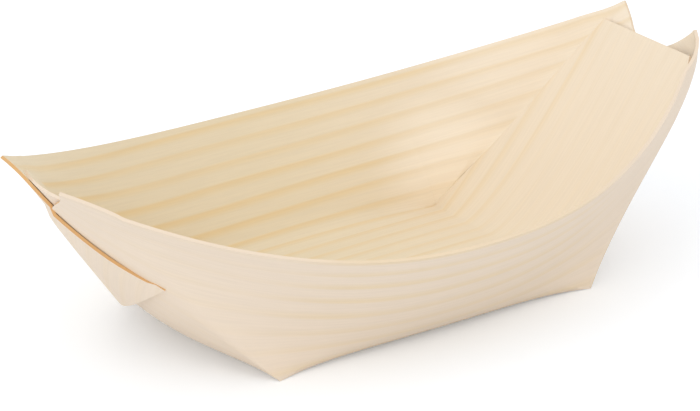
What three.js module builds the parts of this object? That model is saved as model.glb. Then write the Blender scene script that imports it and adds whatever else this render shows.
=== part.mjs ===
import * as THREE from 'three';

// Wooden snack boat: one sheet of thin pine veneer, slit at the four floor corners, folded up and glued.
// Millimetres, +Z up, +X along the boat, origin on the underside at the middle of the floor.
// Every panel is drawn by its outer face, and its thickness grows towards the inside of the boat.

// Veneer and glue
const veneerThickness = 0.6;
const creaseGap = 0.3;
const glueThickness = 0.2;
const glueClearance = 0.1;
const glueDiameter = 8;

// Floor
const floorLength = 67.2;
const floorWidth = 48;

// Side walls: the rim bows out at mid-length, then runs in and up to the four tips
const rimWidth = 77.6;
const rimHeight = 22.6;
const rimBowPower = 2.2;
const rimRisePower = 2.26;
const wallDepth = 25.4;
const sideBendMiddle = 4.8;
const sideBendCorner = 1.3;

// End tongues: they go on from the floor in a soft bend and taper upwards, with cupped sides near the walls
const tongueTopReach = 66.2;
const tongueTopHeight = 35;
const tongueTopWidth = 24.4;
const tongueCup = 1.2;
const foldTopWidth = 22.4;
const tongueTopSlope = THREE.MathUtils.degToRad(56);
const tongueCurlLength = 10;
const tongueBendRun = 9.5;
const cornerBendRun = 14;
const cornerBendSlope = THREE.MathUtils.degToRad(44);

// Corner flaps: the ends of the walls, wrapped round behind the tongues
const leftWrapBulge = -3.4;
const rightWrapBulge = 4.2;
const wrapBulgePeak = 0.76;
const wrapHalfAngle = THREE.MathUtils.degToRad(6);
const tipSharpness = 0.6;
const slitRootLength = 3.4;
const slitWedge = THREE.MathUtils.degToRad(2.4);
const innerFlapReach = 0.72;
const outerFlapReach = 0.95;
const outerEndSkew = THREE.MathUtils.degToRad(5);
const outerLiftShare = 0.72;

// Surface steps
const wallSteps = 28;
const wallRows = 6;
const bendSteps = 3;
const tongueSteps = 10;
const tongueRows = 12;
const wrapSteps = 4;
const flapSteps = 7;
const flapRows = 9;
const floorSideSteps = 14;
const glueSides = 20;
const slopeStep = 1e-4;

// Sizes that follow from these
const halfFloor = floorLength / 2;
const halfWidth = floorWidth / 2;
const halfFold = foldTopWidth / 2;
const tongueRun = tongueTopReach - halfFloor;
const tongueLength = Math.hypot(tongueRun, tongueTopHeight);
const slitAngle = Math.atan2(halfWidth - halfFold, tongueLength);
const foldAngle = Math.atan2(wallDepth, tongueLength);
const foldLength = Math.hypot(tongueLength, wallDepth);
const foldRise = foldLength * Math.cos(slitAngle);
const endSlope = Math.atan2(tongueTopHeight, tongueRun);
const glueRoom = glueThickness + 2 * glueClearance;
const layerShift = (veneerThickness + glueRoom) / Math.sin(endSlope);
const insideOfBoat = new THREE.Vector3(0, 0, 60);

const tongueLayer = 0;
const innerLayer = 1;
const outerLayer = 2;

// Materials
const veneer = new THREE.MeshStandardMaterial({ color: 0xf4e2bd, roughness: 0.72, metalness: 0 });
const glue = new THREE.MeshStandardMaterial({ color: 0xe6d9ae, roughness: 0.4, metalness: 0 });

const boat = new THREE.Group();

function addMesh(name, geometry, material) {
  const mesh = new THREE.Mesh(geometry, material);
  mesh.name = name;
  boat.add(mesh);
}

// Outer face of a tongue at the +X end, by the distance from the keel line and the distance up the slope.
// The bend at the floor is soft in the middle and sharp at the corners.
function tongueFace(y, upSlope) {
  const up = upSlope / tongueLength;
  const halfSpan = halfWidth + (halfFold - halfWidth) * up;
  const share = THREE.MathUtils.clamp(y / halfSpan, -1, 1);
  const softness = 1 - share * share;
  const curlX = Math.cos(tongueTopSlope) * tongueCurlLength;
  const curlZ = Math.sin(tongueTopSlope) * tongueCurlLength;
  const cornerBend = new THREE.Vector2(Math.cos(cornerBendSlope), Math.sin(cornerBendSlope));
  const bend = cornerBend.multiplyScalar(cornerBendRun).lerp(new THREE.Vector2(tongueBendRun, 0), softness);
  const profile = new THREE.CubicBezierCurve(
    new THREE.Vector2(halfFloor, 0),
    new THREE.Vector2(halfFloor + bend.x, bend.y),
    new THREE.Vector2(tongueTopReach - curlX, tongueTopHeight - curlZ),
    new THREE.Vector2(tongueTopReach, tongueTopHeight),
  );
  const past = Math.max(0, upSlope - tongueLength);
  const at = profile.getPoint(Math.min(up, 1));
  return new THREE.Vector3(
    at.x + past * Math.cos(tongueTopSlope),
    y,
    at.y + past * Math.sin(tongueTopSlope),
  );
}

// How a panel lies at its end: in which layer, and how full the folds beside it are.
// A fold that draws in takes the tongue's sides with it; a fold that stands out leaves the tongue straight.
function layerFit(end, layer) {
  const bulge = end < 0 ? leftWrapBulge : rightWrapBulge;
  return { layer, bulge: layer === tongueLayer ? Math.min(0, bulge) : bulge };
}

// At each end one wall's flap is the inner layer and the other wall's the outer.
function fitAt(end, side) {
  return layerFit(end, end * side > 0 ? innerLayer : outerLayer);
}

// Share of the full bulge at a height up the fold: none at the floor corner and none at the tip
function bulgeShare(up) {
  const rate = wrapBulgePeak / (1 - wrapBulgePeak);
  return ((up / wrapBulgePeak) ** rate * (1 - up)) / (1 - wrapBulgePeak);
}

// Outer face of one layer of an end: the tongue's shape, one or two layers further out for a flap,
// fuller or drawn in near the folds.
// The outer flap passes over the inner one, so it lies lower at its own fold than where they cross.
function layerFace(y, upSlope, fit) {
  const at = tongueFace(y, upSlope);
  const halfSpan = halfWidth + (halfFold - halfWidth) * (upSlope / tongueLength);
  const share = y / halfSpan;
  const up = THREE.MathUtils.clamp(upSlope / foldRise, 0, 1);
  const fullness = fit.bulge * bulgeShare(up) * Math.min(1, share * share);
  const drop = fit.layer === outerLayer ? THREE.MathUtils.smoothstep(share, outerLiftShare, 1) : 0;
  at.x += (fit.layer - drop) * layerShift + fullness;
  return at;
}

// A point of a flap on the far side of the +X end, by its distance from the floor corner
// and its angle from the fold line that runs from that corner to the tip.
function flapFace(distance, angle, fit) {
  const turn = slitAngle + angle;
  return layerFace(halfWidth - distance * Math.sin(turn), distance * Math.cos(turn), fit);
}

function foldPoint(height, fit) {
  return flapFace(height * foldLength, 0, fit);
}

// Outer face of a wall on the far side, for its half towards +X.
// Along runs from 0 at mid-length to 1 at the fold, height from 0 at the floor to 1 at the rim.
function wallFace(along, height, fit) {
  const corner = foldPoint(0, fit);
  const tip = foldPoint(1, fit);
  const foot = new THREE.Vector3(corner.x * along, halfWidth, 0);
  const rim = new THREE.Vector3(
    tip.x * along,
    tip.y + (rimWidth / 2 - tip.y) * (1 - along ** rimBowPower),
    rimHeight + (tip.z - rimHeight) * along ** rimRisePower,
  );
  const straightFold = corner.clone().lerp(tip, height);
  const wrap = foldPoint(height, fit).sub(straightFold).multiplyScalar(along ** 5);
  return foot.lerp(rim, height).add(wrap);
}

function sideBend(along) {
  return sideBendCorner + (sideBendMiddle - sideBendCorner) * (1 - along * along);
}

// Height at which a row of the wall lies: the first rows are in the bend, the last row is the rim.
function rowHeight(along, row, fit) {
  const rise = wallFace(along, 1, fit).distanceTo(wallFace(along, 0, fit));
  const bendHeight = sideBend(along) / rise;
  if (row < bendSteps) {
    return (bendHeight * row) / bendSteps;
  }
  return bendHeight + ((1 - bendHeight) * (row - bendSteps)) / wallRows;
}

// The wall with its soft bend into the floor: row 0 is flat on the floor plane.
function wallWithBend(along, row, fit) {
  if (row >= bendSteps) {
    return wallFace(along, rowHeight(along, row, fit), fit);
  }
  const foot = wallFace(along, 0, fit);
  const onFloor = foot.clone().add(new THREE.Vector3(0, -sideBend(along), 0));
  const onWall = wallFace(along, rowHeight(along, bendSteps, fit), fit);
  return new THREE.QuadraticBezierCurve3(onFloor, foot, onWall).getPoint(row / bendSteps);
}

// How far along the wall its own panel reaches before the rounded fold begins.
function wallEnd(height) {
  const reach = halfFloor + (height * wallDepth) / Math.tan(foldAngle + wrapHalfAngle);
  return (reach - creaseGap) / (halfFloor + tongueLength * height);
}

// A corner between two arms, from fully rounded at sharpness 0 to a plain crease at 1
function foldedCorner(from, corner, to, share, sharpness) {
  const rounded = new THREE.QuadraticBezierCurve3(from, corner, to).getPoint(share);
  const arm = share < 0.5 ? from : to;
  const creased = corner.clone().lerp(arm, Math.abs(2 * share - 1));
  return rounded.lerp(creased, sharpness);
}

// A flap with its rounded fold: the fold blends from the wall's own surface into the flap's,
// and it is sharpest at the tip.
function wrapFace(distance, angle, fit) {
  if (angle >= wrapHalfAngle) {
    return flapFace(distance, angle, fit);
  }
  const lean = foldAngle + wrapHalfAngle;
  const height = (distance * Math.sin(lean)) / wallDepth;
  const reach = halfFloor + distance * Math.cos(lean);
  const onWall = wallFace(reach / (halfFloor + tongueLength * height), height, fit);
  const onFlap = flapFace(distance, wrapHalfAngle, fit);
  const fold = foldPoint(distance / foldLength, fit);
  const share = (angle + wrapHalfAngle) / (2 * wrapHalfAngle);
  const sharpness = tipSharpness * (distance / foldLength) ** 2;
  return foldedCorner(onWall, fold, onFlap, share, sharpness);
}

// Distance from the floor corner to the veneer's edge: the rim, the end cut, or the clipped hidden corner.
// The outer flap's end is cut a little askew.
function flapEdge(angle, fit) {
  const lean = foldAngle - angle;
  if (angle < 0) {
    return wallDepth / Math.sin(lean);
  }
  const outer = fit.layer === outerLayer;
  const reach = outer ? outerFlapReach : innerFlapReach;
  const skew = outer ? outerEndSkew : 0;
  const endCut = (foldLength * Math.cos(foldAngle + skew)) / Math.cos(lean + skew);
  const turn = slitAngle + angle;
  const across = (halfWidth * (1 + reach)) / (Math.sin(turn) + reach * Math.tan(slitAngle) * Math.cos(turn));
  return Math.min(endCut, across);
}

// A sheet solid: place(a, b) gives its outer face for a and b from 0 to 1.
function sheetSolid(aSteps, bSteps, place) {
  const positions = [];
  const stride = bSteps + 1;
  const faceSize = (aSteps + 1) * stride;
  const inner = [];
  let facesIn = true;
  for (let i = 0; i <= aSteps; i += 1) {
    for (let j = 0; j <= bSteps; j += 1) {
      const a = i / aSteps;
      const b = j / bSteps;
      const at = place(a, b);
      const a0 = Math.max(0, a - slopeStep);
      const a1 = Math.min(1, a + slopeStep);
      const b0 = Math.max(0, b - slopeStep);
      const b1 = Math.min(1, b + slopeStep);
      const alongA = place(a1, b).sub(place(a0, b));
      const alongB = place(a, b1).sub(place(a, b0));
      const normal = alongA.cross(alongB).normalize();
      facesIn = normal.dot(insideOfBoat.clone().sub(at)) > 0;
      normal.multiplyScalar(facesIn ? veneerThickness : -veneerThickness);
      const inside = at.clone().add(normal);
      positions.push(at.x, at.y, at.z);
      inner.push(inside.x, inside.y, inside.z);
    }
  }
  positions.push(...inner);

  const index = [];
  const quad = (p, q, r, s) => (facesIn ? index.push(p, q, r, p, r, s) : index.push(p, r, q, p, s, r));
  const outerAt = (i, j) => i * stride + j;
  const innerAt = (i, j) => faceSize + i * stride + j;
  for (let i = 0; i < aSteps; i += 1) {
    for (let j = 0; j < bSteps; j += 1) {
      quad(innerAt(i, j), innerAt(i + 1, j), innerAt(i + 1, j + 1), innerAt(i, j + 1));
      quad(outerAt(i, j), outerAt(i, j + 1), outerAt(i + 1, j + 1), outerAt(i + 1, j));
    }
  }
  for (let i = 0; i < aSteps; i += 1) {
    quad(outerAt(i, 0), outerAt(i + 1, 0), innerAt(i + 1, 0), innerAt(i, 0));
    quad(outerAt(i + 1, bSteps), outerAt(i, bSteps), innerAt(i, bSteps), innerAt(i + 1, bSteps));
  }
  for (let j = 0; j < bSteps; j += 1) {
    quad(outerAt(0, j + 1), outerAt(0, j), innerAt(0, j), innerAt(0, j + 1));
    quad(outerAt(aSteps, j), outerAt(aSteps, j + 1), innerAt(aSteps, j + 1), innerAt(aSteps, j));
  }
  const geometry = new THREE.BufferGeometry();
  geometry.setAttribute('position', new THREE.Float32BufferAttribute(positions, 3));
  geometry.setIndex(index);
  return geometry;
}

// Half of the distance across the flat floor, at a distance from mid-length
function floorReach(x) {
  return halfWidth - creaseGap - sideBend(x / foldPoint(0, layerFit(1, innerLayer)).x);
}

// Floor: flat, with sides drawn in at mid-length where the walls' bend is widest.
// Each side is two parabolas, level at mid-length. Each end is one, drawn in at the corners,
// where the tongue's inner face leans over the floor.
function floorGeometry() {
  const endMiddleX = halfFloor - creaseGap;
  const endX = endMiddleX - veneerThickness * Math.sin(cornerBendSlope);
  const endY = floorReach(endX);
  const waistY = floorReach(0);
  const outline = new THREE.Shape();
  outline.moveTo(-endX, -endY);
  outline.quadraticCurveTo(-endX / 2, -waistY, 0, -waistY);
  outline.quadraticCurveTo(endX / 2, -waistY, endX, -endY);
  outline.quadraticCurveTo(2 * endMiddleX - endX, 0, endX, endY);
  outline.quadraticCurveTo(endX / 2, waistY, 0, waistY);
  outline.quadraticCurveTo(-endX / 2, waistY, -endX, endY);
  outline.quadraticCurveTo(endX - 2 * endMiddleX, 0, -endX, -endY);
  return new THREE.ExtrudeGeometry(outline, {
    depth: veneerThickness,
    bevelEnabled: false,
    curveSegments: floorSideSteps / 2,
  });
}

function wallGeometry(side) {
  const rows = bendSteps + wallRows;
  return sheetSolid(wallSteps, rows, (a, b) => {
    const lengthways = 2 * a - 1;
    const end = lengthways < 0 ? -1 : 1;
    const fit = fitAt(end, side);
    const row = b * rows;
    const height = rowHeight(Math.abs(lengthways), row, fit);
    const at = wallWithBend(Math.abs(lengthways) * wallEnd(height), row, fit);
    return new THREE.Vector3(end * at.x, side * at.y, at.z);
  });
}

function tongueGeometry(end) {
  const fit = layerFit(end, tongueLayer);
  const footSpan = floorReach(halfFloor);
  return sheetSolid(tongueSteps, tongueRows, (a, b) => {
    const across = 2 * a - 1;
    const halfSpan = THREE.MathUtils.lerp(footSpan, tongueTopWidth / 2, b);
    const at = layerFace(across * halfSpan, tongueLength * b, fit);
    at.x -= tongueCup * b * across ** 4;
    return new THREE.Vector3(end * at.x, at.y, at.z);
  });
}

function flapGeometry(end, side) {
  const fit = fitAt(end, side);
  const flatAngle = foldAngle + slitAngle - slitWedge - wrapHalfAngle;
  const steps = wrapSteps + flapSteps;
  return sheetSolid(steps, flapRows, (a, b) => {
    const wrapped = Math.min(1, (a * steps) / wrapSteps);
    const flat = Math.max(0, (a * steps - wrapSteps) / flapSteps);
    const angle = wrapHalfAngle * (2 * wrapped - 1) + flatAngle * flat;
    const edge = flapEdge(angle, fit);
    const distance = slitRootLength + (edge - slitRootLength) * b;
    const at = wrapFace(distance, angle, fit);
    return new THREE.Vector3(end * at.x, side * at.y, at.z);
  });
}

// A dab of glue pressed flat between two layers, on the keel line where both flaps cross
function glueGeometry(end, layer) {
  const spot = new THREE.CylinderGeometry(glueDiameter / 2, glueDiameter / 2, 1, glueSides);
  const points = spot.attributes.position;
  const crossing = (halfWidth / Math.tan(slitAngle + foldAngle) + tongueLength) / 2;
  const under = layerFit(end, layer - 1);
  for (let i = 0; i < points.count; i += 1) {
    const outward = points.getY(i) + 0.5;
    const at = layerFace(-points.getX(i), crossing + points.getZ(i), under);
    at.x += (glueClearance + glueThickness * outward) / Math.sin(endSlope);
    points.setXYZ(i, end * at.x, end * at.y, at.z);
  }
  return spot;
}

addMesh('floor_panel', floorGeometry(), veneer);
const sideNames = new Map([[-1, 'near'], [1, 'far']]);
const endNames = new Map([[-1, 'left'], [1, 'right']]);
for (const [side, sideName] of sideNames) {
  addMesh(`${sideName}_side_wall`, wallGeometry(side), veneer);
}
for (const [end, endName] of endNames) {
  addMesh(`${endName}_end_tongue`, tongueGeometry(end), veneer);
  for (const [side, sideName] of sideNames) {
    addMesh(`${sideName}_${endName}_flap`, flapGeometry(end, side), veneer);
  }
  addMesh(`${endName}_tongue_glue`, glueGeometry(end, innerLayer), glue);
  addMesh(`${endName}_flap_glue`, glueGeometry(end, outerLayer), glue);
}

export default boat;
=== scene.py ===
import math

import bpy
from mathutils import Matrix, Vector


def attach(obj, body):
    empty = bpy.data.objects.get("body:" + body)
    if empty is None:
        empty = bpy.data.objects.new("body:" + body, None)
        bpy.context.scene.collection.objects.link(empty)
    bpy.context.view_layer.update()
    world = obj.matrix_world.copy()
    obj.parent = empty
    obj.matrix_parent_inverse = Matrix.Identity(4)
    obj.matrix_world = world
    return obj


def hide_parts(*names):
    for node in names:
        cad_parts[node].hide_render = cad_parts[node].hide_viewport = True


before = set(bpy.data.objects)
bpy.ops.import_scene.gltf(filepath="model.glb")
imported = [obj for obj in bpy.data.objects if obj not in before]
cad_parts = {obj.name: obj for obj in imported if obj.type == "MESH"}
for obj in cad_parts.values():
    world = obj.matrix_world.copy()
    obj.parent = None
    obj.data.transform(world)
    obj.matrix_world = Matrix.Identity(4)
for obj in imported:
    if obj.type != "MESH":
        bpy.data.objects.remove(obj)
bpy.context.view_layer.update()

mm = 0.001
print("frame loaded:", len(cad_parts), "nodes")


def linearColour(hexText):  # sRGB hex to linear, with alpha
    parts = [int(hexText[i:i + 2], 16) / 255 for i in (1, 3, 5)]
    return tuple(c / 12.92 if c <= 0.04045 else ((c + 0.055) / 1.055) ** 2.4 for c in parts) + (1.0,)


def addNode(tree, kind, settings=(), inputs=()):  # inputs by name or in order, values or sockets to link
    node = tree.nodes.new(kind)
    for name, value in dict(settings).items():
        setattr(node, name, value)
    for name, value in inputs.items() if isinstance(inputs, dict) else enumerate(inputs):
        if isinstance(value, bpy.types.NodeSocket):
            tree.links.new(value, node.inputs[name])
        else:
            node.inputs[name].default_value = value
    return node


def freshMaterial(name):
    material = bpy.data.materials.new(name)
    material.use_nodes = True
    material.node_tree.nodes.clear()
    return material


# the folded boat, in millimetres: the sizes of the solids, with the layers at the ends drawn closer together
boat = {
    "veneer": 0.6,
    "floorLength": 67.2,
    "floorWidth": 48.0,
    "rimWidth": 77.6,
    "rimHeight": 22.6,  # at mid-length
    "rimBow": 2.2,  # powers of the rim's sweep, in plan and in height
    "rimRise": 2.26,
    "wallDepth": 25.4,
    "wallWrap": 5,  # power with which a wall takes on the shape of its fold
    "sideBend": 4.8,  # soft bend at a wall's foot, and the power with which it runs out at the corners
    "sideBendPower": 4,
    "topReach": 66.2,  # a tongue's top, from the boat's middle and over the table
    "topHeight": 35.0,
    "topSlope": math.radians(56),
    "curl": 10.0,  # handles of a tongue's curve, at its top, its foot and its two foot corners
    "bendRun": 9.5,
    "cornerRun": 14.0,
    "cornerSlope": math.radians(44),
    "rootLength": 10.0,  # over which a tongue's root comes in from the floor corners
    "hollow": 0.35,  # how far a tongue's edge runs inside the straight line
    "foldTopWidth": 22.4,  # between the two folds at a tongue's top
    "bulgePeak": 0.76,  # share of the fold at which it is fullest
    "flareFrom": 0.7,  # share of the fold from which a tip leans out
    "wrapHalf": math.radians(6),  # half of the rounded fold
    "tipSharpness": 0.6,
    "slitAngle": math.radians(15.9),  # of the cut that frees a flap, from the keel line
    "slitBow": 0.37,  # how hollow an outer flap's slit edge is
    "innerReach": 0.72,  # share of the width at which an inner flap's hidden corner is clipped
    "outerSkew": math.radians(5),  # of an outer flap's end cut
    "layerRoom": 0.06,  # between two layers
    "liftShare": 0.72,  # share of the half width from which an outer flap comes down to its own fold
    "settle": 0.9,  # half of the run over which an outer flap comes down past the inner flap's end
    "tautFrom": 36.0,  # below this height on the slope an outer flap stays straight
    "tautBlend": (0.2, 0.8),  # shares of the half width between which it turns into its own fold
    "endTuck": 0.9,  # an outer flap's end hugs the rounded fold that it covers
    "tuckShare": (0.45, 1.0),
    "weld": 0.03,
    "smoothAngle": math.radians(50),
}
# the two ends differ a little, with a pair of values for the near and the far side
# top: from the keel line to a tongue's top corner, fill: how far its edge swells into a full fold,
# bulge: the fold's fullness, flare: how far the tip leans out
ends = {
    -1: {"top": (10.4, 10.4), "fill": (0.0, 0.0), "bulge": (-3.4, -3.4), "flare": (0.7, 0.0)},  # left
    1: {"top": (13.0, 12.7), "fill": (1.1, 0.0), "bulge": (4.2, 1.4), "flare": (0.7, 0.0)},  # right
}
halfFloor = boat["floorLength"] / 2
halfWidth = boat["floorWidth"] / 2
halfFold = boat["foldTopWidth"] / 2
wallDepth = boat["wallDepth"]
wrapHalf = boat["wrapHalf"]
tongueRun = boat["topReach"] - halfFloor
tongueLength = math.hypot(tongueRun, boat["topHeight"])
foldAngle = math.atan2(wallDepth, tongueLength)  # of the fold line on the flat sheet, from the keel line
foldLean = math.atan2(halfWidth - halfFold, tongueLength)  # and on the tongue's slope
foldLength = math.hypot(wallDepth, tongueLength)
foldRise = foldLength * math.cos(foldLean)
tipHalf = halfWidth - foldLength * math.sin(foldLean)
tongueLayer, innerLayer, outerLayer = 0, 1, 2
layerShift = (boat["veneer"] + boat["layerRoom"]) / math.sin(math.atan2(boat["topHeight"], tongueRun))
cornerReach = halfFloor + layerShift  # where a wall's foot meets its fold
sheetHalf = (halfFloor + tongueLength, halfWidth + wallDepth)  # the flat sheet, half its length and width
hollowPeak = 27 / 4  # brings the highest value of t * (1 - t) ** 2 to 1
hair = 1e-9  # keeps a flap's first points on its own side of the floor's end


def smooth(low, high, value):
    t = min(1.0, max(0.0, (value - low) / (high - low)))
    return t * t * (3 - 2 * t)


def bezier(points, t):
    while len(points) > 1:
        points = [p.lerp(q, t) for p, q in zip(points, points[1:])]
    return points[0]


def foldHalf(upSlope):  # from the keel line to the fold line, at a height on the slope
    return halfWidth + (halfFold - halfWidth) * upSlope / tongueLength


def tongueFace(y, upSlope):  # outer face of the +X tongue
    up = upSlope / tongueLength
    share = max(-1.0, min(1.0, y / foldHalf(upSlope)))
    corner = Vector((math.cos(boat["cornerSlope"]), 0, math.sin(boat["cornerSlope"]))) * boat["cornerRun"]
    # soft in the middle of the foot, sharp at its corners
    bend = corner.lerp(Vector((boat["bendRun"], 0, 0)), 1 - share * share)
    rise = Vector((math.cos(boat["topSlope"]), 0, math.sin(boat["topSlope"])))
    top = Vector((boat["topReach"], 0, boat["topHeight"]))
    foot = Vector((halfFloor, 0, 0))
    at = bezier([foot, foot + bend, top - rise * boat["curl"], top], min(up, 1.0))
    at += rise * max(0.0, upSlope - tongueLength)
    at.y = y
    return at


def flapFit(end, side):  # layer, fold fullness and tip flare of one wall's flap at one end
    layer = innerLayer if end * side > 0 else outerLayer
    return layer, ends[end]["bulge"][side > 0], ends[end]["flare"][side > 0]


def tongueFit(end):  # a fold that draws in takes the tongue's sides with it
    return tongueLayer, min(0.0, *ends[end]["bulge"]), 0.0


def bulgeShare(up):
    peak = boat["bulgePeak"]
    return (up / peak) ** (peak / (1 - peak)) * (1 - up) / (1 - peak)


def layerFace(y, upSlope, fit):  # outer face of one of the layers at the +X end
    layer, bulge, flare = fit
    at = tongueFace(y, upSlope)
    share = y / foldHalf(upSlope)
    drop = 0.0
    if layer == outerLayer:  # it settles on the tongue past the end of the inner flap, and at its own fold
        taut = boat["tautFrom"]
        if upSlope < taut:
            start = tongueFace(y, taut)
            straight = start + (tongueFace(y, taut + 1) - start) * (upSlope - taut)
            at = straight.lerp(at, smooth(*boat["tautBlend"], share))
        innerEnd = (foldRise - upSlope) / math.tan(foldLean + foldAngle) - tipHalf
        pastInner = smooth(-boat["settle"], boat["settle"], y - innerEnd)
        drop = max(smooth(boat["liftShare"], 1.0, share), pastInner)
        at.x -= boat["endTuck"] * smooth(*boat["tuckShare"], -share)
    up = min(1.0, max(0.0, upSlope / foldRise))
    lean = bulge * bulgeShare(up) + flare * smooth(boat["flareFrom"], 1.0, up)
    at.x += (layer - drop) * layerShift + lean * min(1.0, share * share)
    return at


def flapFace(distance, angle, fit):  # polar about the floor corner, from the fold line
    turn = foldLean + angle
    return layerFace(halfWidth - distance * math.sin(turn), distance * math.cos(turn), fit)


def wallFace(along, height, fit):
    corner = flapFace(0.0, 0.0, fit)
    tip = flapFace(foldLength, 0.0, fit)
    foot = Vector((corner.x * along, halfWidth, 0))
    rim = Vector((
        tip.x * along,
        tip.y + (boat["rimWidth"] / 2 - tip.y) * (1 - along ** boat["rimBow"]),
        boat["rimHeight"] + (tip.z - boat["rimHeight"]) * along ** boat["rimRise"],
    ))
    wrap = flapFace(height * foldLength, 0.0, fit) - corner.lerp(tip, height)
    return foot.lerp(rim, height) + wrap * along ** boat["wallWrap"]


def wrapFace(distance, angle, fit):  # the rounded fold between a wall and its flap
    if angle >= wrapHalf:
        return flapFace(distance, angle, fit)
    lean = foldAngle + wrapHalf
    height = distance * math.sin(lean) / wallDepth
    reach = halfFloor + distance * math.cos(lean)
    onWall = wallFace(reach / (halfFloor + tongueLength * height), height, fit)
    onFlap = flapFace(distance, wrapHalf, fit)
    fold = flapFace(distance, 0.0, fit)
    share = (angle + wrapHalf) / (2 * wrapHalf)
    creased = fold.lerp(onWall if share < 0.5 else onFlap, abs(2 * share - 1))
    sharpness = boat["tipSharpness"] * (distance / foldLength) ** 2
    return bezier([onWall, fold, onFlap], share).lerp(creased, sharpness)


def bendWidth(along):  # the soft bend at a wall's foot runs out at the corners
    return boat["sideBend"] * (1 - along ** boat["sideBendPower"])


def sideBendAt(along, share, fit):  # share 0 on the floor, 1 up the wall
    bend = bendWidth(along)
    foot = wallFace(along, 0.0, fit)
    rise = (wallFace(along, 1.0, fit) - foot).length
    return bezier([foot - Vector((0, bend, 0)), foot, wallFace(along, bend / rise, fit)], share)


def wallAt(u, v, fit):
    height = (v - halfWidth) / wallDepth
    along = min(1.0, u / (halfFloor + tongueLength * height))
    bend = bendWidth(along)
    rise = (wallFace(along, 1.0, fit) - wallFace(along, 0.0, fit)).length
    if height * rise < bend:
        return sideBendAt(along, 0.5 + 0.5 * height * rise / bend, fit)
    return wallFace(along, height, fit)


def floorAt(u, v, fit):
    along = u / halfFloor
    bend = bendWidth(along)
    inset = halfWidth - v
    if inset < bend:
        return sideBendAt(along, 0.5 - 0.5 * inset / bend, fit)
    spread = (v / (halfWidth - bend)) ** 2
    return Vector((u + (cornerReach - halfFloor) * along * spread, v, 0))


def tongueAt(u, v, fit):
    upSlope = u - halfFloor
    at = layerFace(v, upSlope, fit)
    root = max(0.0, 1 - upSlope / boat["rootLength"])
    at.x += layerShift * (v / halfWidth) ** 2 * root * root  # the tongue's root starts from the floor corner
    return at


def placed(at, end, side):
    return Vector((end * at.x, side * at.y, at.z))


def steps(start, stop, count):
    return [start + (stop - start) * i / count for i in range(count)]


# how finely each panel of the flat sheet is divided before it is folded
cells = {"floor": 56, "tongue": 40, "across": 40, "up": 22, "flap": 16, "wrap": 10, "wallEnd": 22}
tongueColumns = steps(halfFloor, sheetHalf[0], cells["tongue"]) + [sheetHalf[0]]
floorColumns = steps(-halfFloor, halfFloor, cells["floor"])[1:]
columns = [-u for u in reversed(tongueColumns)] + floorColumns + tongueColumns
rays = steps(-boat["slitAngle"], foldAngle - wrapHalf, cells["flap"])
rays += steps(foldAngle - wrapHalf, foldAngle + wrapHalf, cells["wrap"])
rays += steps(foldAngle + wrapHalf, math.pi / 2, cells["wallEnd"]) + [math.pi / 2]


def tongueSpan(upSlope, end, side):  # from the keel line to a tongue's edge
    up = upSlope / tongueLength
    straight = halfWidth + (ends[end]["top"][side > 0] - halfWidth) * up
    swell = ends[end]["fill"][side > 0] * bulgeShare(up) ** 2
    return straight + swell - boat["hollow"] * hollowPeak * up * (1 - up) ** 2


def middleFlat(i, j):  # tongue, floor and tongue in one strip
    u = columns[i]
    across = 2 * j / cells["across"] - 1
    if abs(u) <= halfFloor:
        return u, halfWidth * across
    return u, tongueSpan(abs(u) - halfFloor, math.copysign(1, u), math.copysign(1, across)) * across


def middleFold(u, v):
    end = -1 if u < 0 else 1
    side = -1 if v < 0 else 1
    if abs(u) > halfFloor:
        return placed(tongueAt(abs(u), abs(v), tongueFit(end)), end, side)
    return placed(floorAt(abs(u), abs(v), flapFit(end, side)), end, side)


def wallFlat(i, j, side):  # a wall over the floor's length
    return halfFloor * (2 * i / cells["floor"] - 1), side * (halfWidth + wallDepth * j / cells["up"])


def wallFold(u, v, side):
    end = -1 if u < 0 else 1
    return placed(wallAt(abs(u), abs(v), flapFit(end, side)), end, side)


def flapEdge(flatAngle, layer):  # from the floor corner to the rim, the end cut or the clipped hidden corner
    if flatAngle >= foldAngle:
        return wallDepth / math.sin(flatAngle)
    skew = boat["outerSkew"] if layer == outerLayer else 0.0
    endCut = foldLength * math.cos(foldAngle + skew) / math.cos(flatAngle + skew)
    if layer == outerLayer:
        return endCut
    turn = foldLean + foldAngle - flatAngle
    reach = boat["innerReach"]
    clipped = halfWidth * (1 + reach) / (math.sin(turn) + reach * math.tan(foldLean) * math.cos(turn))
    return min(endCut, clipped)


def flapFlat(i, j, end, side):  # a wall's end with its flap, in rays from the floor corner
    layer = flapFit(end, side)[0]
    angle = rays[i]
    share = j / cells["up"]
    distance = flapEdge(angle, layer) * share
    if layer == outerLayer and angle < foldAngle:
        angle += (foldAngle - angle) * boat["slitBow"] * (1 - share)
    return end * (halfFloor + distance * math.cos(angle)), side * (halfWidth + distance * math.sin(angle))


def flapFold(u, v, end, side):
    fit = flapFit(end, side)
    out = max(abs(u), halfFloor + hair)
    distance = math.hypot(out - halfFloor, side * v - halfWidth)
    angle = foldAngle - math.atan2(side * v - halfWidth, out - halfFloor)
    at = wallAt(out, side * v, fit) if angle <= -wrapHalf else wrapFace(distance, angle, fit)
    return placed(at, end, side)


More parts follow.
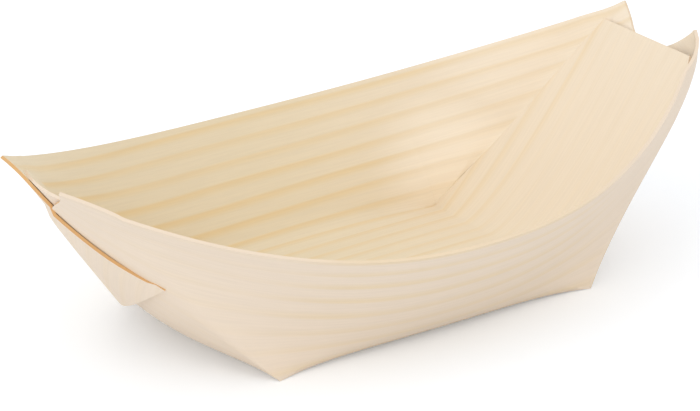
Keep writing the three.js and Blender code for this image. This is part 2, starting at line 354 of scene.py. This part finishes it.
# a flat grid is folded point by point, as no operator lays a sheet round layers; its UV map is the flat sheet
def foldPanel(countA, countB, flatAt, foldAt, *place):
    bpy.ops.object.select_all(action="DESELECT")
    bpy.ops.mesh.primitive_grid_add(x_subdivisions=countA, y_subdivisions=countB, size=1.0, calc_uvs=True)
    panel = bpy.context.object
    flats = []
    for vertex in panel.data.vertices:
        i = round((vertex.co.x + 0.5) * countA)
        j = round((vertex.co.y + 0.5) * countB)
        flats.append(flatAt(i, j, *place))
        vertex.co = foldAt(*flats[-1], *place) * mm
    corners = panel.data.uv_layers.active.data
    for loop in panel.data.loops:
        u, v = flats[loop.vertex_index]
        corners[loop.index].uv = (u / sheetHalf[0] / 2 + 0.5, v / sheetHalf[1] / 2 + 0.5)
    return panel


panels = [foldPanel(len(columns) - 1, cells["across"], middleFlat, middleFold)]
for side in (-1, 1):
    panels.append(foldPanel(cells["floor"], cells["up"], wallFlat, wallFold, side))
    for end in (-1, 1):
        panels.append(foldPanel(len(rays) - 1, cells["up"], flapFlat, flapFold, end, side))

bpy.ops.object.select_all(action="DESELECT")
for panel in panels:
    panel.select_set(True)
bpy.context.view_layer.objects.active = panels[0]
bpy.ops.object.join()
veneer = bpy.context.object
veneer.name = "veneer_sheet"
veneer.data.name = "veneer_sheet"
bpy.ops.object.mode_set(mode="EDIT")
bpy.ops.mesh.select_all(action="SELECT")
bpy.ops.mesh.remove_doubles(threshold=boat["weld"] * mm)
bpy.ops.mesh.normals_make_consistent(inside=False)
bpy.ops.object.mode_set(mode="OBJECT")
underside = min(veneer.data.polygons, key=lambda face: face.center.length)
if underside.normal.z > 0:  # the outer face is the one drawn
    bpy.ops.object.mode_set(mode="EDIT")
    bpy.ops.mesh.flip_normals()
    bpy.ops.object.mode_set(mode="OBJECT")
print("veneer folded:", len(veneer.data.polygons), "faces")


# pine veneer, sliced and left bare: pale earlywood with thin honey latewood lines that run along the sheet,
# clear on one side and faint on the other, fine fibres and a dull surface; the inside is a warmer cream
pine = {
    "outside": ("#eddbc6", "#eddbc6"),  # earlywood at the left end and at the right; the inside's paler right one is painted light, the right end and its tongue lighter where the light falls on them
    "inside": ("#e9dabd", "#efe0ca"),
    "paintedLightRun": (-5.0, 60.0),  # mm from the middle, between which the one turns into the other
    "latewood": "#e9cf9e",
    # the cut edge's colour: end grain, with painted shade of the gap between the layers
    "endGrainAndGapShade": "#dba35a",
    "endGrainAndShadeShare": (-60.0, 60.0, 0.8, 0.2),  # painted shade: stronger at the left end, where the shaded gap beside the cut shows dark
    "ring": 3.45,  # mm between latewood lines
    "line": (0.4, 0.84, 1.0),  # where in a ring the latewood begins, is darkest and ends
    "wander": {"size": (190.0, 26.0), "detail": 2.0, "roughness": 0.45},  # noise, mm along and across
    "stray": (0.2, 0.8, -1.0, 1.0),  # that noise to mm that a line strays sideways
    "patch": {"size": (110.0, 12.0), "detail": 2.0, "roughness": 0.5},
    "strength": (0.3, 0.7, 0.5, 0.9),  # the lines come and go with the patches
    "nearFar": (0.6, 1.0),  # strength at the keel line and at the far wall's foot
    "fade": (10.0, 65.0, 1.0, 0.6),  # strength from the middle to the right end
    "plain": 0.8,  # share of the lines that the ends lose
    "plainRun": (8.0, 12.0),  # mm before and past the floor's end over which they go
    "rightKeeps": (9.0, 14.0),  # mm from the keel line, beyond which the right end keeps its lines
    "leftKeeps": (-4.0, 1.0),  # mm over the fold line, beyond which the left end does
    "fibre": {"size": (14.0, 0.4), "detail": 3.0, "roughness": 0.6},  # about twice as coarse as real, to show
    "fleck": (0.3, 0.7, 0.982, 1.015),
    "relief": 0.4,  # height of a line beside the fibres
    "bump": (0.2, 0.06),  # strength, and depth in mm
    "roughness": (0.68, 0.52),  # earlywood and denser latewood
    "ior": 1.5,
}
# painted light inside: a pale highlight painted round the right floor corner, where the crumpled fold catches
# the light, and a paler tone painted over the shade on the far wall towards the right end
paintedCornerLight = {
    "colour": "#fff4e3",
    "middle": (41.0, 26.5),  # mm on the flat sheet
    "radius": (4.0, 21.0),  # full inside the first, gone past the second
    "wallFoot": 2.0,  # half of the run over which it begins at the wall's foot
    "wallEnd": (38.0, 54.0, 0.0, 0.35),  # mm along the sheet to its share there
    "fade": 0.6,  # share of the lines that are lost in it
}
waveBands = 20 / (2 * math.pi)  # that a Wave texture draws in one unit
mixFirst, mixSecond, mixResult = 6, 7, 2  # a Mix node's colour sockets
eased = {"interpolation_type": "SMOOTHSTEP"}


def pineMaterial(name, earlywood, pale=None, endGrainAndGapShade=None):
    material = freshMaterial(name)
    tree = material.node_tree
    uv = addNode(tree, "ShaderNodeUVMap", {"uv_map": veneer.data.uv_layers.active.name})
    sheet = addNode(tree, "ShaderNodeMapping", {}, {  # millimetres from the sheet's middle
        "Vector": uv.outputs["UV"],
        "Location": (-sheetHalf[0], -sheetHalf[1], 0),
        "Scale": (2 * sheetHalf[0], 2 * sheetHalf[1], 1),
    }).outputs["Vector"]
    apart = addNode(tree, "ShaderNodeSeparateXYZ", {}, (sheet,))
    along, across = apart.outputs["X"], apart.outputs["Y"]
    noise = {}
    for figure in ("wander", "patch", "fibre"):
        length, width = pine[figure]["size"]
        cell = addNode(tree, "ShaderNodeMapping", {}, {"Vector": sheet, "Scale": (1 / length, 1 / width, 1)})
        noise[figure] = addNode(tree, "ShaderNodeTexNoise", {"noise_dimensions": "2D"}, {
            "Vector": cell.outputs["Vector"],
            "Scale": 1.0,
            "Detail": pine[figure]["detail"],
            "Roughness": pine[figure]["roughness"],
        }).outputs["Fac"]

    # one ring after the other: slow into the latewood, quick out of it
    stray = addNode(tree, "ShaderNodeMapRange", eased, (noise["wander"], *pine["stray"]))
    strayed = addNode(tree, "ShaderNodeMath", {"operation": "ADD"}, (across, stray.outputs["Result"]))
    bent = addNode(tree, "ShaderNodeCombineXYZ", {}, (along, strayed.outputs["Value"]))
    rings = addNode(tree, "ShaderNodeTexWave", {"bands_direction": "Y", "wave_profile": "SAW"}, {
        "Vector": bent.outputs["Vector"],
        "Scale": 1 / waveBands / pine["ring"],
    })
    line = addNode(tree, "ShaderNodeValToRGB", {}, (rings.outputs["Fac"],))
    line.color_ramp.interpolation = "EASE"
    line.color_ramp.elements[0].position = pine["line"][0]
    line.color_ramp.elements[1].position = pine["line"][1]
    line.color_ramp.elements.new(pine["line"][2]).color = (0, 0, 0, 1)

    # what weakens the lines
    strength = addNode(tree, "ShaderNodeMapRange", eased, (noise["patch"], *pine["strength"]))
    farSide = addNode(tree, "ShaderNodeMapRange", eased, (across, 0.0, halfWidth, *pine["nearFar"]))
    fade = addNode(tree, "ShaderNodeMapRange", eased, (along, *pine["fade"]))
    weakened = [node.outputs["Result"] for node in (strength, farSide, fade)]
    start, stop = halfFloor - pine["plainRun"][0], halfFloor + pine["plainRun"][1]
    rightEnd = addNode(tree, "ShaderNodeMapRange", eased, (along, start, stop, 0.0, pine["plain"]))
    leftEnd = addNode(tree, "ShaderNodeMapRange", eased, (along, -stop, -start, pine["plain"], 0.0))
    overKeel = addNode(tree, "ShaderNodeMapRange", eased, (across, *pine["rightKeeps"], 1.0, 0.0))
    foldSlope = math.tan(foldAngle)
    foldFoot = halfWidth - halfFloor * foldSlope
    foldUp = addNode(tree, "ShaderNodeMath", {"operation": "MULTIPLY_ADD"}, (along, foldSlope, across))
    low, high = (foldFoot + over for over in pine["leftKeeps"])
    overFold = addNode(tree, "ShaderNodeMapRange", eased, (foldUp.outputs["Value"], low, high, 1.0, 0.0))
    for atEnd, part in ((rightEnd, overKeel), (leftEnd, overFold)):
        lost = addNode(tree, "ShaderNodeMath", {"operation": "MULTIPLY"},
                       (atEnd.outputs["Result"], part.outputs["Result"]))
        kept = addNode(tree, "ShaderNodeMath", {"operation": "SUBTRACT"}, (1.0, lost.outputs["Value"]))
        weakened.append(kept.outputs["Value"])
    # painted light: the inside turns paler towards the right end
    toRight = addNode(tree, "ShaderNodeMapRange", eased, (along, *pine["paintedLightRun"], 0.0, 1.0))
    tones = [(toRight.outputs["Result"], earlywood[1])]
    # painted light: the highlight at the right floor corner, and the far wall's right end lifted out of its
    # shade
    if pale:
        middle = (*pale["middle"], 0)
        away = addNode(tree, "ShaderNodeVectorMath", {"operation": "DISTANCE"}, (sheet, middle))
        spot = addNode(tree, "ShaderNodeMapRange", eased,
                       (away.outputs["Value"], *pale["radius"], 1.0, 0.0))
        wallEnd = addNode(tree, "ShaderNodeMapRange", eased, (along, *pale["wallEnd"]))
        either = addNode(tree, "ShaderNodeMath", {"operation": "MAXIMUM"},
                         (spot.outputs["Result"], wallEnd.outputs["Result"]))
        low, high = halfWidth - pale["wallFoot"], halfWidth + pale["wallFoot"]
        onWall = addNode(tree, "ShaderNodeMapRange", eased, (across, low, high, 0.0, 1.0))
        paintedLightShare = addNode(tree, "ShaderNodeMath", {"operation": "MULTIPLY"},
                      (either.outputs["Value"], onWall.outputs["Result"]))
        kept = addNode(tree, "ShaderNodeMath", {"operation": "MULTIPLY_ADD"},
                       (paintedLightShare.outputs["Value"], -pale["fade"], 1.0))
        weakened.append(kept.outputs["Value"])
        tones.append((paintedLightShare.outputs["Value"], pale["colour"]))
    shown = line.outputs["Color"]
    for share in weakened:
        shown = addNode(tree, "ShaderNodeMath", {"operation": "MULTIPLY"}, (shown, share)).outputs["Value"]
    tones.append((shown, pine["latewood"]))

    colour = linearColour(earlywood[0])
    for share, tone in tones:
        colour = addNode(tree, "ShaderNodeMix", {"data_type": "RGBA"}, {
            "Factor": share, mixFirst: colour, mixSecond: linearColour(tone),
        }).outputs[mixResult]
    fleck = addNode(tree, "ShaderNodeMapRange", eased, (noise["fibre"], *pine["fleck"]))
    colour = addNode(tree, "ShaderNodeMix", {"data_type": "RGBA", "blend_type": "MULTIPLY"}, {
        "Factor": 1.0, mixFirst: colour, mixSecond: fleck.outputs["Result"],
    }).outputs[mixResult]
    # end grain, with painted shade of the gap between the layers, darker at the left end
    if endGrainAndGapShade:
        dark = addNode(tree, "ShaderNodeMapRange", eased, (along, *pine["endGrainAndShadeShare"]))
        colour = addNode(tree, "ShaderNodeMix", {"data_type": "RGBA"}, {
            "Factor": dark.outputs["Result"], mixFirst: colour, mixSecond: linearColour(endGrainAndGapShade),
        }).outputs[mixResult]
    relief = addNode(tree, "ShaderNodeMath", {"operation": "MULTIPLY_ADD"},
                     (shown, pine["relief"], noise["fibre"]))
    bump = addNode(tree, "ShaderNodeBump", {}, {
        "Strength": pine["bump"][0],
        "Distance": pine["bump"][1] * mm,
        "Height": relief.outputs["Value"],
    })
    dullness = addNode(tree, "ShaderNodeMapRange", eased, (shown, 0.0, 1.0, *pine["roughness"]))
    shader = addNode(tree, "ShaderNodeBsdfPrincipled", {}, {
        "Base Color": colour,
        "Roughness": dullness.outputs["Result"],
        "IOR": pine["ior"],
        "Normal": bump.outputs["Normal"],
    })
    addNode(tree, "ShaderNodeOutputMaterial", {}, {"Surface": shader.outputs["BSDF"]})
    return material


outsideSlot, insideSlot, cutSlot = 0, 1, 2
veneer.data.materials.clear()
veneer.data.materials.append(pineMaterial("pine_veneer", pine["outside"]))
veneer.data.materials.append(pineMaterial("pine_veneer_inside", pine["inside"], paintedCornerLight))
veneer.data.materials.append(pineMaterial("pine_end_grain_and_gap_shade", pine["inside"], endGrainAndGapShade=pine["endGrainAndGapShade"]))
solidify = veneer.modifiers.new("thickness", "SOLIDIFY")
solidify.thickness = boat["veneer"] * mm
solidify.offset = -1.0
solidify.use_even_offset = True
solidify.thickness_clamp = 1.0
solidify.material_offset = insideSlot
solidify.material_offset_rim = cutSlot
bpy.ops.object.modifier_apply(modifier=solidify.name)
bpy.ops.object.shade_smooth_by_angle(angle=boat["smoothAngle"])
print("veneer thickened:", len(veneer.data.polygons), "faces")

# only the flaps' cuts across the grain are dark, end grain with painted shade of the gap beside them; the
# cuts along it and the tongues' ends look like the faces
endCut = {"from": 70.03, "slant": 0.65, "tongueFrom": 80.94, "tongueHalf": 13.83}  # mm on the flat sheet
uvs = veneer.data.uv_layers.active.data
for face in veneer.data.polygons:
    if face.material_index == cutSlot:
        out = [abs(uvs[i].uv.x - 0.5) * 2 * sheetHalf[0] for i in face.loop_indices]
        aside = [abs(uvs[i].uv.y - 0.5) * 2 * sheetHalf[1] for i in face.loop_indices]
        acrossGrain = min(out) > endCut["from"] and max(out) - min(out) < endCut["slant"]
        onTongue = min(out) > endCut["tongueFrom"] and max(aside) < endCut["tongueHalf"]
        face.material_index = cutSlot if acrossGrain and not onTongue else outsideSlot
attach(veneer, "root")
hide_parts("floor_panel", "near_side_wall", "far_side_wall", "left_end_tongue", "right_end_tongue",
            "near_left_flap", "far_left_flap", "near_right_flap", "far_right_flap")
print("pine veneer done")


# dried wood glue: yellowish, mottled, a little glossy, seen only in the slots between the layers
dab = {
    "colour": "#e3d3a2",
    "roughness": 0.35,
    "ior": 1.48,
    "mottle": 2.0,  # mm
    "tint": (0.85, 1.1),
    "diameter": 6.4,
    "film": 0.04,  # pressed to this thickness
    "height": 33.0,  # up the slope
    "corners": 32,
}
glue = freshMaterial("dried_wood_glue")
glueTree = glue.node_tree
glueSpot = addNode(glueTree, "ShaderNodeTexCoord")
glueMottle = addNode(glueTree, "ShaderNodeTexNoise", {}, {
    "Vector": glueSpot.outputs["Object"], "Scale": 1 / (dab["mottle"] * mm), "Detail": 2.0,
})
glueTint = addNode(glueTree, "ShaderNodeMapRange", {}, (glueMottle.outputs["Fac"], 0.0, 1.0, *dab["tint"]))
glueColour = addNode(glueTree, "ShaderNodeMix", {"data_type": "RGBA", "blend_type": "MULTIPLY"}, {
    "Factor": 1.0, mixFirst: linearColour(dab["colour"]), mixSecond: glueTint.outputs["Result"],
})
glueShader = addNode(glueTree, "ShaderNodeBsdfPrincipled", {}, {
    "Base Color": glueColour.outputs[mixResult], "Roughness": dab["roughness"], "IOR": dab["ior"],
})
addNode(glueTree, "ShaderNodeOutputMaterial", {}, {"Surface": glueShader.outputs["BSDF"]})
for endName, end in (("left", -1), ("right", 1)):
    for layerName, under in (("tongue", tongueFit(end)), ("flap", flapFit(end, end))):
        bpy.ops.object.select_all(action="DESELECT")
        bpy.ops.mesh.primitive_cylinder_add(vertices=dab["corners"], radius=dab["diameter"] / 2,
                                            depth=dab["film"], end_fill_type="TRIFAN")
        spot = bpy.context.object
        spot.name = endName + "_" + layerName + "_glue_dab"
        for vertex in spot.data.vertices:  # pressed flat on the layer below it
            at = layerFace(-vertex.co.x, dab["height"] + vertex.co.y, under)
            at.x += dab["film"] + vertex.co.z
            vertex.co = placed(at, end, end) * mm
        bpy.ops.object.mode_set(mode="EDIT")
        bpy.ops.mesh.select_all(action="SELECT")
        bpy.ops.mesh.normals_make_consistent(inside=False)
        bpy.ops.object.mode_set(mode="OBJECT")
        spot.data.materials.append(glue)
        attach(spot, "root")
        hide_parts(endName + "_" + layerName + "_glue")
print("glue done")


# studio, in metres: pale floor, even white room, a soft box high on the left and a weak one low on the left
studio = {
    "floorSize": 8.0,
    "floorColour": "#f4f8fd",
    "floorLift": 0.17,  # added where the camera sees the floor, so that it is white beside the shadow
    "world": 0.94,
    "key": {"place": (-0.8, -0.12, 0.85), "size": 1.0, "watts": 1.7},
    "fill": {"place": (-0.8, -0.6, 0.15), "size": 0.8, "watts": 0.8},
}


def seenRay(tree):  # 1 for what the camera sees, directly, in a reflection or through something clear
    path = addNode(tree, "ShaderNodeLightPath")
    mirrored = addNode(tree, "ShaderNodeMath", {"operation": "MAXIMUM"},
                       (path.outputs["Is Camera Ray"], path.outputs["Is Glossy Ray"]))
    seen = addNode(tree, "ShaderNodeMath", {"operation": "MAXIMUM"},
                   (mirrored.outputs["Value"], path.outputs["Is Transmission Ray"]))
    return seen.outputs["Value"]


bpy.ops.object.select_all(action="DESELECT")
bpy.ops.mesh.primitive_plane_add(size=studio["floorSize"])
ground = bpy.context.object
ground.name = "studio_floor"
paper = freshMaterial("matt_white_paper")
paperTree = paper.node_tree
paperMatt = addNode(paperTree, "ShaderNodeBsdfDiffuse", {}, {"Color": linearColour(studio["floorColour"])})
paperLift = addNode(paperTree, "ShaderNodeMath", {"operation": "MULTIPLY"},
                    (seenRay(paperTree), studio["floorLift"]))
paperGlow = addNode(paperTree, "ShaderNodeEmission", {}, {"Strength": paperLift.outputs["Value"]})
paperSum = addNode(paperTree, "ShaderNodeAddShader", {},
                   (paperMatt.outputs["BSDF"], paperGlow.outputs["Emission"]))
addNode(paperTree, "ShaderNodeOutputMaterial", {}, {"Surface": paperSum.outputs["Shader"]})
ground.data.materials.append(paper)

world = bpy.data.worlds.new("studio_world")
bpy.context.scene.world = world
world.use_nodes = True
worldTree = world.node_tree
worldTree.nodes.clear()
worldLevel = addNode(worldTree, "ShaderNodeMapRange", {},
                     (seenRay(worldTree), 0.0, 1.0, studio["world"], 1.0))
worldLight = addNode(worldTree, "ShaderNodeBackground", {}, {
    "Color": (1, 1, 1, 1), "Strength": worldLevel.outputs["Result"],
})
addNode(worldTree, "ShaderNodeOutputWorld", {}, {"Surface": worldLight.outputs["Background"]})

for name in ("key", "fill"):
    box = studio[name]
    bpy.ops.object.light_add(type="AREA", location=box["place"])
    lamp = bpy.context.object
    lamp.name = name + "_soft_box"
    lamp.data.size = box["size"]
    lamp.data.energy = box["watts"]
    lamp.rotation_euler = (-Vector(box["place"])).to_track_quat("-Z", "Y").to_euler()

# the photo's view, with the camera's place and aim in millimetres
view = {
    "place": (-386.1, -540.6, 292.7),
    "aim": (0, 0, 18),
    "lens": 203.9,
    "sensor": 36,
    "shift": (-0.0164, -0.0096),
}
bpy.ops.object.camera_add(location=Vector(view["place"]) * mm)
camera = bpy.context.object
camera.name = "photo_camera"
camera.data.sensor_width = view["sensor"]
camera.data.lens = view["lens"]
camera.data.shift_x, camera.data.shift_y = view["shift"]
camera.rotation_euler = (Vector(view["aim"]) - Vector(view["place"])).to_track_quat("-Z", "Y").to_euler()
bpy.context.scene.camera = camera
bpy.context.scene.view_settings.view_transform = "Standard"
print("studio done")
